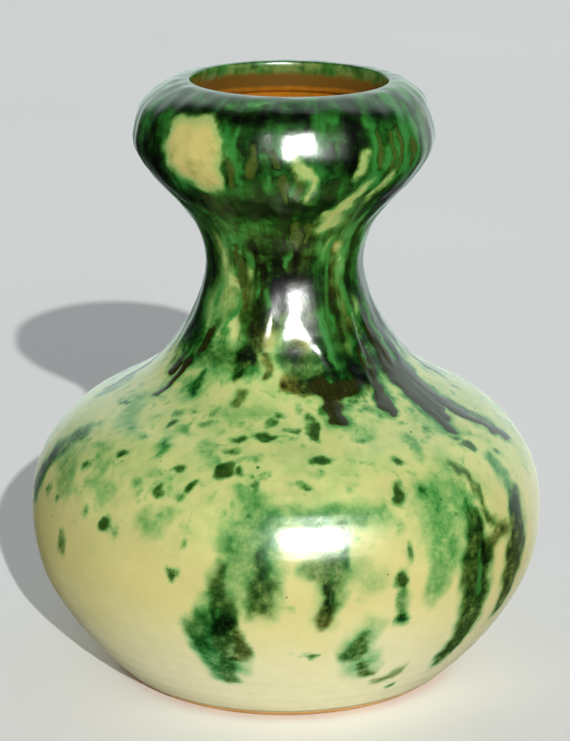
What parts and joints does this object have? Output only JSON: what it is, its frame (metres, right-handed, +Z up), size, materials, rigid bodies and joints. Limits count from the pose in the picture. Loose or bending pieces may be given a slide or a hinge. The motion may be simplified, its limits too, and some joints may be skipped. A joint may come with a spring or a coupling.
{
  "type": "bud vase",
  "caption": "Round-bellied pottery bud vase with a pinched neck, and a bulbous mouth with a crisp-edged lip, under a running green and brown glaze.",
  "frame": {"origin": "centre of the foot, on the surface the vase stands on", "axes": "+Z up along the vase's turning axis; -Y faces the viewer, with the widest drip to the right of it"},
  "size_m": [0.129, 0.129, 0.15],
  "materials": {
    "orange_clay": "bare fired earthenware, matt, fine grained",
    "luting_slip": "fired slip, matt",
    "white_slip": "fired white slip, matt",
    "cream_glaze": "glossy honey-clear glaze over white slip, yellow-cream with green and dark spots",
    "green_brown_glaze": "glossy running copper-green and manganese-brown glaze, streaked and mottled",
    "amber_glaze": "glossy amber glaze over orange clay"
  },
  "bodies": {
    "root": {"belly_bowl": "orange_clay", "shoulder_dome": "orange_clay", "neck_collar": "orange_clay", "mouth_bulb": "orange_clay", "belly_seam_slip": "luting_slip", "neck_seam_slip": "luting_slip", "bulb_seam_slip": "luting_slip", "white_slip_coat": "white_slip", "outer_glaze": "cream_glaze", "run_glaze": "green_brown_glaze", "liner_glaze": "amber_glaze"}
  },
  "joints": []
}
